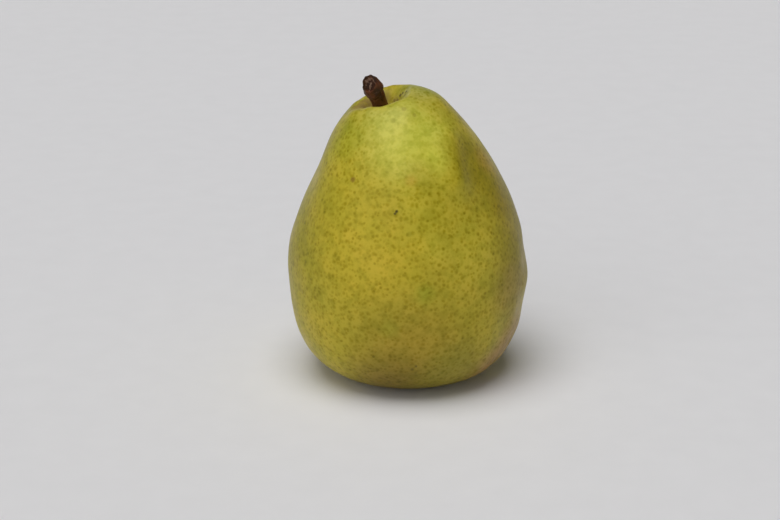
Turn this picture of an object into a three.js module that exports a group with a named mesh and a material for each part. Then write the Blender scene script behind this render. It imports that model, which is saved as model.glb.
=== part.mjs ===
import * as THREE from 'three';
import { mergeVertices } from 'three/addons/utils/BufferGeometryUtils.js';

// A green pear standing on its blossom end: the fruit, its woody stem, and the dried calyx
// in the basin underneath. Millimetres, +Z up, with the stem leaning towards -X and -Y.

// Driving dimensions of the fruit's outline, which is turned about a vertical axis
const BELLY_RADIUS = 40.2;
const BELLY_HEIGHT = 37;
const BELLY_FULLNESS_BELOW = 26.6;
const BELLY_FULLNESS_ABOVE = 15.8;
const NECK_RADIUS = 24;
const NECK_HEIGHT = 82.2;
const NECK_SLOPE = THREE.MathUtils.degToRad(33.4);
const NECK_FULLNESS_BELOW = 11.8;
const NECK_FULLNESS_ABOVE = 9.8;
const CROWN_HEIGHT = 95.7;
const RIM_RADIUS = 9.6;
const RIM_FULLNESS = 2.5;
const REST_RADIUS = 14;
const REST_FULLNESS = 17;
const BASIN_RADIUS = 8.5;
const BASIN_WALL_RADIUS = 6.2;
const BASIN_DEPTH = 5.5;
const CAVITY_WALL_RADIUS = 6.2;
const CAVITY_DEPTH = 6;

// How far the fruit grew away from a true turned shape
const CROWN_START_RADIUS = 34.5;
const CROWN_OFFSET = -7.7;
const CROWN_RISE = 3.8;
const CROWN_RISE_GROWTH = 0.9;
const LEAN = -1.1;
const LOBES = [
  { count: 2, depth: 0.010, turn: 1.2 },
  { count: 3, depth: 0.008, turn: -1.1 },
  { count: 5, depth: 0.003, turn: -0.4 },
];
const LOBE_FADE_HEIGHT = 20;

// Driving dimensions of the stem, measured along its own bent centre line
const STEM_RADIUS = 2.5;
const STEM_WAIST_RADIUS = 2.4;
const STEM_WAIST_HEIGHT = 7.5;
const STEM_HEAD_RADIUS = 2.9;
const STEM_HEAD_HEIGHT = 14.4;
const STEM_SCAR_RADIUS = 2.3;
const STEM_SCAR_DEPTH = 0.5;
const STEM_LENGTH = 17;
const STEM_BEND = new THREE.Vector3(0, 0, 8);
const STEM_TIP = new THREE.Vector3(-4.0, -6.2, 14.6);
const STEM_RIDGES = 5;
const STEM_RIDGE_DEPTH = 0.03;
const BUD = { height: 13.2, angle: 0.4, size: 1.0, stand: 0.6 };

// Driving dimensions of the calyx, a ring of five dried sepals
const CALYX_RADIUS = 4.2;
const CALYX_HEIGHT = 2.6;
const CALYX_EDGE_HEIGHT = 1;
const CALYX_CUP_RADIUS = 1.2;
const CALYX_CUP_DEPTH = 1.2;
const SEPALS = 5;
const SEPAL_DEPTH = 0.22;

// The stem stands in a socket in the cavity's floor, and each piece is clear of the next
const CLEARANCE = 0.3;
const SOCKET_RADIUS = STEM_RADIUS * (1 + STEM_RIDGE_DEPTH) + CLEARANCE;
const SOCKET_DEPTH = 2;

const FRUIT_STEPS = 10;
const FRUIT_SIDES = 48;
const STEM_STEPS = 6;
const STEM_SIDES = 24;
const CALYX_STEPS = 5;
const CALYX_SIDES = 30;

const fruitSkin = new THREE.MeshStandardMaterial({ color: 0xa39a37, roughness: 0.45, metalness: 0 });
const stemBark = new THREE.MeshStandardMaterial({ color: 0x5c3a27, roughness: 0.8, metalness: 0 });
const driedCalyx = new THREE.MeshStandardMaterial({ color: 0x4a3a26, roughness: 0.9, metalness: 0 });

// Turns an outline of (radius, height) points, listed from the bottom up, about +Z
function turn(outline, steps, sides) {
  const geometry = new THREE.LatheGeometry(outline.getPoints(steps), sides);
  geometry.rotateX(Math.PI / 2);
  geometry.deleteAttribute('normal');
  geometry.deleteAttribute('uv');
  return geometry;
}

// Moves every vertex of a geometry by a rule, then makes it one closed surface
function reshape(geometry, rule) {
  const positions = geometry.getAttribute('position');
  const vertex = new THREE.Vector3();
  for (let i = 0; i < positions.count; i += 1) {
    vertex.fromBufferAttribute(positions, i);
    rule(vertex);
    positions.setXYZ(i, vertex.x, vertex.y, vertex.z);
  }
  const closed = mergeVertices(geometry, 1e-3);
  closed.computeVertexNormals();
  return closed;
}

// From the basin's roof, over the flat ring that the pear rests on, up the belly and the neck,
// over the crown's rim and down into the cavity and the stem's socket
function fruitOutline() {
  const outline = new THREE.Path();
  const alongNeck = new THREE.Vector2(-Math.sin(NECK_SLOPE), Math.cos(NECK_SLOPE));
  const neck = new THREE.Vector2(NECK_RADIUS, NECK_HEIGHT);
  const belowNeck = neck.clone().addScaledVector(alongNeck, -NECK_FULLNESS_BELOW);
  const aboveNeck = neck.clone().addScaledVector(alongNeck, NECK_FULLNESS_ABOVE);
  const belowBelly = BELLY_HEIGHT - BELLY_FULLNESS_BELOW;
  const aboveBelly = BELLY_HEIGHT + BELLY_FULLNESS_ABOVE;
  const cavityFloor = CROWN_HEIGHT - CAVITY_DEPTH;
  outline.moveTo(0, BASIN_DEPTH);
  outline.bezierCurveTo(BASIN_WALL_RADIUS, BASIN_DEPTH, BASIN_WALL_RADIUS, 0, BASIN_RADIUS, 0);
  outline.lineTo(REST_RADIUS, 0);
  outline.bezierCurveTo(
    REST_RADIUS + REST_FULLNESS, 0, BELLY_RADIUS, belowBelly, BELLY_RADIUS, BELLY_HEIGHT,
  );
  outline.bezierCurveTo(BELLY_RADIUS, aboveBelly, belowNeck.x, belowNeck.y, neck.x, neck.y);
  outline.bezierCurveTo(
    aboveNeck.x, aboveNeck.y, RIM_RADIUS + RIM_FULLNESS, CROWN_HEIGHT, RIM_RADIUS, CROWN_HEIGHT,
  );
  outline.bezierCurveTo(
    CAVITY_WALL_RADIUS, CROWN_HEIGHT, CAVITY_WALL_RADIUS, cavityFloor, SOCKET_RADIUS, cavityFloor,
  );
  outline.lineTo(SOCKET_RADIUS, cavityFloor - SOCKET_DEPTH);
  outline.lineTo(0, cavityFloor - SOCKET_DEPTH);
  return outline;
}

// How much a ring belongs to the crown: 0 up to the shoulder, 1 from the rim inwards
function crownShare(radius, height) {
  if (height < BELLY_HEIGHT) {
    return 0;
  }
  return THREE.MathUtils.smoothstep(CROWN_START_RADIUS - radius, 0, CROWN_START_RADIUS - RIM_RADIUS);
}

// Faint lobes round the fruit, which fade out at the foot and on the crown
function lobeScale(angle, height, crown) {
  const share = THREE.MathUtils.smoothstep(height, 0, LOBE_FADE_HEIGHT) * (1 - crown);
  let swell = 0;
  for (const lobe of LOBES) {
    swell += lobe.depth * Math.cos(lobe.count * angle - lobe.turn);
  }
  return 1 + share * swell;
}

// How far the crown's surface rises on its high side, towards +X, and falls on its low side.
// The cavity's floor round the socket stays level.
function crownRise(radius, angle) {
  const level = THREE.MathUtils.smoothstep(radius, SOCKET_RADIUS, RIM_RADIUS);
  const reach = radius < RIM_RADIUS ? radius / RIM_RADIUS : (radius / RIM_RADIUS) ** CROWN_RISE_GROWTH;
  return CROWN_RISE * level * reach * Math.cos(angle);
}

// The whole fruit leans a little, and its crown is shifted aside and tilted
function growFruit(vertex) {
  const radius = Math.hypot(vertex.x, vertex.y);
  const height = vertex.z;
  const angle = Math.atan2(vertex.y, vertex.x);
  const crown = crownShare(radius, height);
  const scale = lobeScale(angle, height, crown);
  vertex.x = vertex.x * scale + CROWN_OFFSET * crown + LEAN * (height / CROWN_HEIGHT) ** 2;
  vertex.y *= scale;
  vertex.z += crown * crownRise(radius, angle);
}

function makeFruit() {
  const geometry = reshape(turn(fruitOutline(), FRUIT_STEPS, FRUIT_SIDES), growFruit);
  const fruit = new THREE.Mesh(geometry, fruitSkin);
  fruit.name = 'fruit';
  return fruit;
}

// From the foot, up the shaft, out round the swollen head and in to the scar on its end
function stemOutline() {
  const scarFloor = STEM_LENGTH - STEM_SCAR_DEPTH;
  const outline = new THREE.Path();
  outline.moveTo(0, 0);
  outline.lineTo(STEM_RADIUS, 0);
  outline.splineThru([
    new THREE.Vector2(STEM_WAIST_RADIUS, STEM_WAIST_HEIGHT),
    new THREE.Vector2(STEM_HEAD_RADIUS, STEM_HEAD_HEIGHT),
  ]);
  outline.quadraticCurveTo(STEM_HEAD_RADIUS, STEM_LENGTH, STEM_SCAR_RADIUS, STEM_LENGTH);
  outline.quadraticCurveTo(STEM_SCAR_RADIUS / 2, scarFloor, 0, scarFloor);
  return outline;
}

// The stem's ridged section, with one bud scar standing out near its head
function stemScale(angle, height) {
  const ridges = STEM_RIDGE_DEPTH * Math.cos(STEM_RIDGES * angle + 0.15 * height);
  const across = (angle - BUD.angle) * STEM_HEAD_RADIUS / BUD.size;
  const along = (height - BUD.height) / BUD.size;
  const bud = BUD.stand * Math.exp(-(across ** 2) - along ** 2);
  return 1 + ridges + bud / STEM_HEAD_RADIUS;
}

// Carries each ring of the upright stem to its place on the bent centre line
function growStem(vertex, centreLine) {
  const height = vertex.z;
  const scale = stemScale(Math.atan2(vertex.y, vertex.x), height);
  const share = height / STEM_LENGTH;
  const upright = new THREE.Vector3(0, 0, 1);
  const lean = new THREE.Quaternion().setFromUnitVectors(upright, centreLine.getTangent(share));
  vertex.set(vertex.x * scale, vertex.y * scale, 0);
  vertex.applyQuaternion(lean);
  vertex.add(centreLine.getPoint(share));
}

function makeStem() {
  const foot = new THREE.Vector3(0, 0, 0);
  const centreLine = new THREE.QuadraticBezierCurve3(foot, STEM_BEND, STEM_TIP);
  const upright = turn(stemOutline(), STEM_STEPS, STEM_SIDES);
  const stem = new THREE.Mesh(reshape(upright, (vertex) => growStem(vertex, centreLine)), stemBark);
  stem.name = 'stem';
  const socketFloor = CROWN_HEIGHT - CAVITY_DEPTH - SOCKET_DEPTH;
  stem.position.set(CROWN_OFFSET + LEAN, 0, socketFloor + CLEARANCE);
  return stem;
}

// A low cup, hollow underneath where the blossom was, and domed to follow the basin's roof
function calyxOutline() {
  const outline = new THREE.Path();
  outline.moveTo(0, CALYX_CUP_DEPTH);
  outline.quadraticCurveTo(CALYX_CUP_RADIUS, CALYX_CUP_DEPTH, CALYX_CUP_RADIUS, 0);
  outline.quadraticCurveTo(CALYX_RADIUS, 0, CALYX_RADIUS, CALYX_EDGE_HEIGHT);
  outline.quadraticCurveTo(CALYX_RADIUS, CALYX_HEIGHT, 0, CALYX_HEIGHT);
  return outline;
}

// Draws the cup's edge out into the tips of the sepals
function growCalyx(vertex) {
  const reach = Math.hypot(vertex.x, vertex.y) / CALYX_RADIUS;
  const angle = Math.atan2(vertex.y, vertex.x);
  const scale = 1 - SEPAL_DEPTH * reach * (1 - Math.cos(SEPALS * angle));
  vertex.x *= scale;
  vertex.y *= scale;
}

function makeCalyx() {
  const geometry = reshape(turn(calyxOutline(), CALYX_STEPS, CALYX_SIDES), growCalyx);
  const calyx = new THREE.Mesh(geometry, driedCalyx);
  calyx.name = 'calyx';
  calyx.position.z = BASIN_DEPTH - CALYX_HEIGHT - CLEARANCE;
  return calyx;
}

// The pear is centred over the origin, and rests on the plane Z = 0
const pear = new THREE.Group();
pear.add(makeFruit(), makeStem(), makeCalyx());
const box = new THREE.Box3().setFromObject(pear, true);
const centre = box.getCenter(new THREE.Vector3());
pear.position.set(-centre.x, -centre.y, -box.min.z);

export default pear;
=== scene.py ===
import math

import bpy
import numpy as np
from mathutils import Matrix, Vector, noise


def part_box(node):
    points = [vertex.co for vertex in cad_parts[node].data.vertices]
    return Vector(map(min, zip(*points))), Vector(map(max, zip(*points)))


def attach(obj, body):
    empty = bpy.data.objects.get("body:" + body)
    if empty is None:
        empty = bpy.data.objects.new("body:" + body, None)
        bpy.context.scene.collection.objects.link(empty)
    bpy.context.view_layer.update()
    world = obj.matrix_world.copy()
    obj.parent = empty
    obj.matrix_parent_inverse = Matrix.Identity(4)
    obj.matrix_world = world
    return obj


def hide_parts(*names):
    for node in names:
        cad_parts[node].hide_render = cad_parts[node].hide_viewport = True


# A green pear standing on its blossom end: fine meshes of the fruit, its stem and the dried
# calyx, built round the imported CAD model. Shapes are worked out in millimetres in the CAD
# model's own frame, and the fruit is then centred on the CAD fruit's box.
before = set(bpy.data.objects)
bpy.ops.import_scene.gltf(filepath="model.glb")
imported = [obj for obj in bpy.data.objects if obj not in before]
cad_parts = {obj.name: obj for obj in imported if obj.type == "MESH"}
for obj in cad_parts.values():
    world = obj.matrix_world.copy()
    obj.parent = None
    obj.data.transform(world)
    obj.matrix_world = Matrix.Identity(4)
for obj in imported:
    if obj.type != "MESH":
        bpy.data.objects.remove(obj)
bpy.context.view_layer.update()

MM = 0.001

# The fruit's outline, turned about a vertical axis
BELLY_RADIUS = 40.2
BELLY_HEIGHT = 37.0
BELLY_FULLNESS_BELOW = 26.6
BELLY_FULLNESS_ABOVE = 15.8
NECK_RADIUS = 24.0
NECK_HEIGHT = 82.2
NECK_SLOPE = math.radians(33.4)
NECK_FULLNESS_BELOW = 11.8
NECK_FULLNESS_ABOVE = 9.8
CROWN_HEIGHT = 95.7
RIM_RADIUS = 9.6
RIM_FULLNESS = 2.5
REST_RADIUS = 14.0
REST_FULLNESS = 17.0
BASIN_RADIUS = 8.5
BASIN_WALL_RADIUS = 6.2
BASIN_DEPTH = 5.5
CAVITY_WALL_RADIUS = 5.4
CAVITY_DEPTH = 6.0
CAVITY_MIDDLE_RADIUS = 0.4

# How far the fruit grew away from a true turned shape. A lobe is a count, a depth and a turn
CROWN_START_RADIUS = 34.5
CROWN_OFFSET = -7.7
CROWN_RISE = 3.8
CROWN_RISE_GROWTH = 0.9
LEAN = -1.1
LOBES = [(2, 0.010, 1.2), (3, 0.008, -1.1), (5, 0.003, -0.4)]
LOBE_FADE_HEIGHT = 20.0

# The stem, measured along its own bent centre line
STEM_RADIUS = 2.5
STEM_WAIST_RADIUS = 2.4
STEM_WAIST_HEIGHT = 7.5
STEM_HEAD_RADIUS = 2.9
STEM_HEAD_HEIGHT = 14.4
STEM_SCAR_RADIUS = 2.3
STEM_SCAR_DEPTH = 0.5
STEM_LENGTH = 17.0
STEM_BEND = np.array([0.0, 0.0, 8.0])
STEM_TIP = np.array([-4.4, -6.2, 14.6])
SOCKET_DEPTH = 2.0
CLEARANCE = 0.3

UPWARD = np.array([0.0, 0.0, 1.0])


# ---------------------------------------------------------------- mesh helpers

# Free space round the edge of the map OFBake, as a share of its width
MAP_MARGIN = 0.01


def smooth(value, low, high):
    """Eases from 0 at low to 1 at high, and stays level beyond them."""
    share = np.clip((np.asarray(value, float) - low) / (high - low), 0.0, 1.0)
    return share * share * (3.0 - 2.0 * share)


def band(value, start, full, fading, end):
    """Eases from 0 at start to 1 at full, and from 1 at fading to 0 at end."""
    return smooth(value, end, fading) * smooth(value, start, full)


def hump(value, middle, width):
    """A rounded rise to 1 at the middle, which falls to about a third one width away."""
    return np.exp(-((value - middle) / width) ** 2)


def bezier(points, steps):
    """Points along a Bezier curve of any order, without its last one."""
    layer = [np.asarray(point, float) for point in points]
    share = np.linspace(0.0, 1.0, steps, endpoint=False)[:, None]
    while len(layer) > 1:
        layer = [first * (1 - share) + second * share for first, second in zip(layer, layer[1:])]
    return np.broadcast_to(layer[0], (steps, len(points[0])))


def normals_of(grid):
    """Outward normals of a (rings, sides, 3) grid that closes round its sides."""
    along = np.gradient(grid, axis=0)
    around = (np.roll(grid, -1, axis=1) - np.roll(grid, 1, axis=1)) / 2
    normals = np.cross(around, along)
    return normals / np.maximum(np.linalg.norm(normals, axis=2, keepdims=True), 1e-9)


def noise_field(grid, wavelength, seed):
    """Smooth noise from -1 to 1 at each point of a grid. The seed picks a fixed place in it."""
    shift = Vector((17.3 * seed, -9.1 * seed, 5.7 * seed))
    flat = grid.reshape(-1, 3) / wavelength
    values = [noise.noise(Vector(point) + shift) for point in flat]
    return np.array(values).reshape(grid.shape[:2])


def quads_between(low, high, sides):
    """The faces between two rings of points, given the number of each ring's first point."""
    besides = [(side + 1) % sides for side in range(sides)]
    return [(low + side, low + beside, high + beside, high + side) for side, beside in enumerate(besides)]


def turned_faces(rings, sides):
    """Faces between the rings, and a fan from each end ring to its middle point. The two middle
    points are numbered after all the rings, the foot's first."""
    foot, top = rings * sides, rings * sides + 1
    last_ring = (rings - 1) * sides
    faces = []
    for ring in range(rings - 1):
        faces.extend(quads_between(ring * sides, (ring + 1) * sides, sides))
    for side in range(sides):
        beside = (side + 1) % sides
        faces.append((beside, side, foot))
        faces.append((last_ring + side, last_ring + beside, top))
    return faces


def unwrap(mesh, grid):
    """Adds the map OFBake: sideways round the rings, and upwards from ring to ring."""
    rings, sides = grid.shape[:2]
    foot = rings * sides
    spans = np.linalg.norm(np.diff(grid, axis=0), axis=2).mean(axis=1)
    heights = np.concatenate([[0.0], np.cumsum(spans)]) / spans.sum()
    upward = 2 * MAP_MARGIN + (1 - 4 * MAP_MARGIN) * heights
    places = mesh.uv_layers.new(name="OFBake").data
    for face in mesh.polygons:
        sides_here = [vertex % sides for vertex in face.vertices if vertex < foot]
        wraps = 0 in sides_here and sides - 1 in sides_here
        for loop, vertex in zip(face.loop_indices, face.vertices):
            if vertex >= foot:
                column = sides - 0.5 if wraps else min(sides_here) + 0.5
                height = MAP_MARGIN if vertex == foot else 1 - MAP_MARGIN
            else:
                column = sides if wraps and vertex % sides == 0 else vertex % sides
                height = upward[vertex // sides]
            places[loop].uv = (MAP_MARGIN + (1 - 2 * MAP_MARGIN) * column / sides, height)


def add_piece(name, mesh):
    """Shades a mesh smooth, and puts it in the scene as an object."""
    mesh.polygons.foreach_set("use_smooth", [True] * len(mesh.polygons))
    mesh.validate()
    mesh.update()
    piece = bpy.data.objects.new(name, mesh)
    bpy.context.scene.collection.objects.link(piece)
    return piece


def turned_mesh(name, grid, layers=None):
    """A closed mesh from rings of points, capped by a point in the middle of each end ring. Each
    layer becomes a mesh attribute, from one value per point of the grid."""
    points = np.vstack([grid.reshape(-1, 3), [grid[0].mean(0)], [grid[-1].mean(0)]]) * MM
    mesh = bpy.data.meshes.new(name)
    mesh.from_pydata(points.tolist(), [], turned_faces(*grid.shape[:2]))
    unwrap(mesh, grid)
    for layer_name, values in (layers or {}).items():
        attribute = mesh.attributes.new(layer_name, "FLOAT", "POINT")
        flat = np.concatenate([values.reshape(-1), values[0, :1], values[-1, :1]])
        attribute.data.foreach_set("value", flat.astype(np.float32))
    return add_piece(name, mesh)


# ---------------------------------------------------------------- the fruit's shape

FRUIT_SIDES = 288
# Turns the numbering of the fruit's sides, and with it the map's seam, to the front
FRUIT_TURN = math.pi / 2

# Uneven growth all over the skin: depth, wavelength and seed of each noise
SKIN_SWELLS = [(0.16, 24.0, 1), (0.11, 9.0, 2), (0.03, 3.6, 3)]
# The foot stays flat: the swells begin above the first height and are full at the second
SWELLS_START = 0.3
SWELLS_FULL = 9.0

# Folds that run into the cavity and the basin: a count, a share of the depth and a turn
FOLDS = [(7, 1.0, 1.3), (12, 0.7, -0.8), (19, 0.5, 2.1)]
CAVITY_FOLD_DEPTH = 0.05
CAVITY_FOLD_RADII = (2.5, 6.5, 8.0, 17.0)
BASIN_FOLD_DEPTH = 0.12
BASIN_FOLD_RADII = (1.0, 4.0, 6.5, 8.4)

# Soft ridges and hollows grown into the skin: start, end, width and rise
SKIN_RIDGES = [
    ((13.5, -15.5, 87.0), (16.0, -24.0, 74.5), 4.8, 1.10),
    ((15.0, -25.5, 74.0), (-4.0, -30.0, 73.5), 6.0, 0.50),
    ((22.5, -15.0, 81.0), (25.5, -21.0, 66.0), 7.0, -0.60),
    ((6.0, -11.0, 93.5), (5.0, -21.0, 84.5), 7.0, -0.60),
    ((-6.0, -15.0, 91.0), (-8.0, -23.0, 82.0), 7.0, -0.20),
    ((0.5, -3.0, 99.5), (-1.0, 5.0, 99.5), 5.6, -0.50),
    ((-2.5, -5.0, 98.0), (4.0, -4.5, 98.5), 4.0, -0.85),
    ((10.0, -3.0, 96.0), (10.0, 4.0, 96.0), 5.0, 0.60),
    ((-7.5, -8.0, 96.0), (-3.5, -9.0, 97.5), 3.0, -0.40),
    ((-18.0, -5.8, 92.0), (-13.5, -8.5, 93.0), 3.2, 0.75),
    ((-17.0, 6.0, 93.5), (-13.0, 8.0, 95.5), 3.5, 0.45),
    ((34.0, -13.0, 14.0), (31.0, -16.0, 9.0), 4.5, -0.70),
    ((-2.3, 3.4, 96.3), (-1.2, 3.0, 97.2), 0.6, -0.28),
    ((-0.7, -0.3, 96.9), (0.2, 1.5, 98.0), 0.6, -0.28),
    ((-11.0, 9.0, 96.5), (-7.0, 8.5, 97.5), 3.6, 0.70),
    ((19.0, -4.0, 89.0), (20.0, 3.0, 88.0), 7.0, 0.10),
    ((-32.0, -3.0, 70.0), (-30.0, 3.0, 73.0), 8.0, -0.65),
    ((-40.0, -5.0, 46.0), (-40.0, 3.0, 44.0), 9.0, 0.55),
    ((40.0, -7.0, 44.0), (40.0, -1.0, 44.0), 5.5, -0.70),
    ((39.0, -10.0, 34.5), (39.5, -3.0, 34.5), 3.2, 0.35),
    ((37.0, -12.0, 26.0), (38.0, -5.0, 24.0), 4.5, -0.60),
    ((32.0, -22.0, 22.0), (30.0, -22.0, 14.0), 5.0, -0.50),
    ((30.0, -14.0, 9.0), (24.0, -22.0, 7.0), 6.5, 0.60),
]


def fruit_outline():
    """(radius, height) from the basin's roof, round the outside, and down to the cavity's floor.
    Each curve ends with its number of rings."""
    along = np.array([-math.sin(NECK_SLOPE), math.cos(NECK_SLOPE)])
    neck = np.array([NECK_RADIUS, NECK_HEIGHT])
    below, above = neck - NECK_FULLNESS_BELOW * along, neck + NECK_FULLNESS_ABOVE * along
    floor = CROWN_HEIGHT - CAVITY_DEPTH
    under = BELLY_HEIGHT - BELLY_FULLNESS_BELOW
    over = BELLY_HEIGHT + BELLY_FULLNESS_ABOVE
    belly = (BELLY_RADIUS, BELLY_HEIGHT)
    rim = (RIM_RADIUS, CROWN_HEIGHT)
    roof = [(0, BASIN_DEPTH), (BASIN_WALL_RADIUS, BASIN_DEPTH)]
    cavity = [(CAVITY_WALL_RADIUS, CROWN_HEIGHT), (CAVITY_WALL_RADIUS, floor), (CAVITY_MIDDLE_RADIUS, floor)]
    return np.vstack([
        bezier([*roof, (BASIN_WALL_RADIUS, 0), (BASIN_RADIUS, 0)], 24)[1:],
        bezier([(BASIN_RADIUS, 0), (REST_RADIUS, 0)], 8),
        bezier([(REST_RADIUS, 0), (REST_RADIUS + REST_FULLNESS, 0), (BELLY_RADIUS, under), belly], 56),
        bezier([belly, (BELLY_RADIUS, over), below, neck], 56),
        bezier([neck, above, (RIM_RADIUS + RIM_FULLNESS, CROWN_HEIGHT), rim], 36),
        bezier([rim, *cavity], 40),
    ])


def grow_fruit(outline, angle):
    """The outline turned through every angle, with the crown shifted, tilted and lobed."""
    radius, height = outline[:, :1], outline[:, 1:]
    above_belly = height >= BELLY_HEIGHT
    crown = smooth(CROWN_START_RADIUS - radius, 0, CROWN_START_RADIUS - RIM_RADIUS) * above_belly
    swell = sum(depth * np.cos(count * angle - turn) for count, depth, turn in LOBES)
    scale = 1 + smooth(height, 0, LOBE_FADE_HEIGHT) * (1 - crown) * swell
    share = radius / RIM_RADIUS
    reach = np.where(share < 1, share, share ** CROWN_RISE_GROWTH)
    level = smooth(radius, STEM_RADIUS, RIM_RADIUS)
    x = radius * np.cos(angle) * scale + CROWN_OFFSET * crown + LEAN * (height / CROWN_HEIGHT) ** 2
    y = radius * np.sin(angle) * scale
    z = height + crown * CROWN_RISE * level * reach * np.cos(angle)
    return np.stack(np.broadcast_arrays(x, y, z), axis=2)


def distance_to_line(grid, start, end):
    """How far each point is from a straight stretch, with its ends rounded."""
    start, end = np.array(start), np.array(end)
    span = end - start
    share = np.clip(((grid - start) @ span) / (span @ span), 0.0, 1.0)
    return np.linalg.norm(grid - (start + share[..., None] * span), axis=-1)


def fruit_relief(grid, outline, angle):
    """How far each point of the skin stands out."""
    radius, height = outline[:, :1], outline[:, 1:]
    swell = sum(depth * noise_field(grid, wavelength, seed) for depth, wavelength, seed in SKIN_SWELLS)
    relief = swell * smooth(height, SWELLS_START, SWELLS_FULL)
    for start, end, width, rise in SKIN_RIDGES:
        relief += rise * hump(distance_to_line(grid, start, end), 0.0, width)
    folds = sum(share * np.cos(count * angle + turn) for count, share, turn in FOLDS)
    near_cavity = band(radius, *CAVITY_FOLD_RADII) * (height > BELLY_HEIGHT)
    near_basin = band(radius, *BASIN_FOLD_RADII) * (height < BELLY_HEIGHT)
    relief += CAVITY_FOLD_DEPTH * folds * near_cavity + BASIN_FOLD_DEPTH * folds * near_basin
    return relief


def make_fruit():
    """The fruit, and how far it was shifted to be centred on the CAD fruit's box."""
    outline = fruit_outline()
    angle = np.linspace(-math.pi, math.pi, FRUIT_SIDES, endpoint=False)[None] + FRUIT_TURN
    grid = grow_fruit(outline, angle)
    grid = grid + normals_of(grid) * fruit_relief(grid, outline, angle)[:, :, None]
    low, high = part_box("fruit")
    middle = (grid.reshape(-1, 3).min(0) + grid.reshape(-1, 3).max(0)) / 2
    wanted = (low + high) / (2 * MM)
    shift = np.array([wanted.x - middle[0], wanted.y - middle[1], low.z / MM])
    return turned_mesh("pear_fruit", grid + shift), shift


# ---------------------------------------------------------------- the stem's shape

STEM_SIDES = 128
STEM_FOOT_MIDDLE_RADIUS = 0.4
STEM_SCAR_MIDDLE_RADIUS = 0.15

# Ribs up the stem: a count, a depth, a twist per millimetre and a turn
STEM_RIBS = [(5, 0.10, 0.15, 0.0), (9, 0.06, -0.25, 1.0)]
# Lumps of the bark: depth, size, seed, and the height's share in the noise, less than 1 to
# stretch them along the stem
BARK_LUMPS = [(0.14, 1.3, 4, 0.45), (0.06, 0.55, 5, 1.0)]
# The swelling under the stem's head and the dip below it: rise, height and width
STEM_COLLARS = [(0.34, 14.9, 0.9), (-0.28, 12.9, 0.8)]
# The bark starts above the foot's flat end, and stops inside the head's face
BARK_HEIGHTS = (0.0, 2.0)
BARK_RADII = (1.2, 2.1)
BARK_THICKNESS = 0.12
FOOT_FLARE = 0.30
FOOT_FLARE_HEIGHTS = (8.0, 2.5)

# The bud scar on the head's right, and the notch above it. Angles run round the stem
KNOB_ANGLE = math.radians(-6.0)
KNOB_HEIGHT = 14.1
KNOB_SIZE = 0.9
KNOB_RISE = 0.70
NOTCH_TURN = 0.35
NOTCH_WIDTH = 1.1
NOTCH_HEIGHT = 16.0
NOTCH_THICKNESS = 0.6
NOTCH_DEPTH = 0.80

# The scarred face at the stem's end: where its right hand points, and how it slants
FACE_RIGHT = math.radians(-32.4)
FACE_SLANT = 0.5
FACE_SETBACK = 0.9
FACE_HEIGHTS = (STEM_LENGTH - 1.5, STEM_LENGTH - 0.5)
SLANT_HEIGHTS = (8.0, 15.0)
DISH_DEPTH = 1.05
DISH_RADII = (2.45, 1.5)
LIP_RISE = 0.25
LIP_RADIUS = 2.3
LIP_WIDTH = 0.35
LIP_UNEVENNESS = 0.6
LIP_WAVES = 3
LIP_TURN = 0.7
PIT_DEPTH = 0.30
PIT_SIZE = 0.9
PIT_SEED = 6
# The nib is what is left of the wood's core, in the face's own right and up
NIB_RISE = 1.1
NIB_RIGHT = -0.1
NIB_UP = -0.35
NIB_WIDTH = 0.36
NIB_LENGTH = 1.0

# Pale scars of the bark: a bow round the top of the face, and chips on the head
BOW_RADIUS = 1.85
BOW_WIDTH = 0.25
BOW_UP = (-0.8, 0.8)
CHIP_SIZE = 0.7
CHIP_NOISE = (0.15, 0.5)
CHIP_START_HEIGHT = 11
CHIP_SEED = 7
NIB_PALENESS = 1.5
BOW_PALENESS = 0.7
KNOB_PALENESS = 1.5
CHIP_PALENESS = 0.45
# Dark bark in a cap round the top of the head, and painted shade in the dished face and in the grooves
# between ribs
CAP_RADIUS = 2.5
CAP_WIDTH = 0.30
CAP_UP = (-0.2, 1.0)
CAP_HEIGHTS = (14.5, 16.0)
HOLLOW_RADII = (2.2, 1.2)
GROOVE_DEPTHS = (0.04, 0.22)
HOLLOW_PAINTED_SHADE = 0.8
GROOVE_PAINTED_SHADE = 0.7


def stem_outline():
    """(radius, height) from the middle of the foot to the middle of the scarred end. Each curve
    ends with its number of rings."""
    scar_floor = STEM_LENGTH - STEM_SCAR_DEPTH
    waist = (STEM_WAIST_RADIUS, STEM_WAIST_HEIGHT)
    head = (STEM_HEAD_RADIUS, STEM_HEAD_HEIGHT)
    shoulder = (STEM_HEAD_RADIUS, STEM_LENGTH)
    scar = (STEM_SCAR_RADIUS, STEM_LENGTH)
    half = STEM_WAIST_HEIGHT / 2
    return np.vstack([
        bezier([(STEM_FOOT_MIDDLE_RADIUS, 0), (STEM_RADIUS, 0)], 6),
        bezier([(STEM_RADIUS, 0), (STEM_RADIUS, half), (STEM_WAIST_RADIUS, half), waist], 50),
        bezier([waist, (STEM_WAIST_RADIUS, half * 3), (STEM_HEAD_RADIUS, half * 3), head], 50),
        bezier([head, shoulder, scar], 30),
        bezier([scar, (STEM_SCAR_RADIUS / 2, scar_floor), (STEM_SCAR_MIDDLE_RADIUS, scar_floor)], 34),
    ])


def bark_relief(height, angle, straight):
    """How far the ribs and lumps of the bark stand out."""
    ribs = sum(
        depth * np.cos(count * angle + twist * height + turn) for count, depth, twist, turn in STEM_RIBS
    )
    lumps = sum(
        depth * noise_field(straight * np.array([1.0, 1.0, squash]), size, seed)
        for depth, size, seed, squash in BARK_LUMPS
    )
    return ribs + lumps


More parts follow.
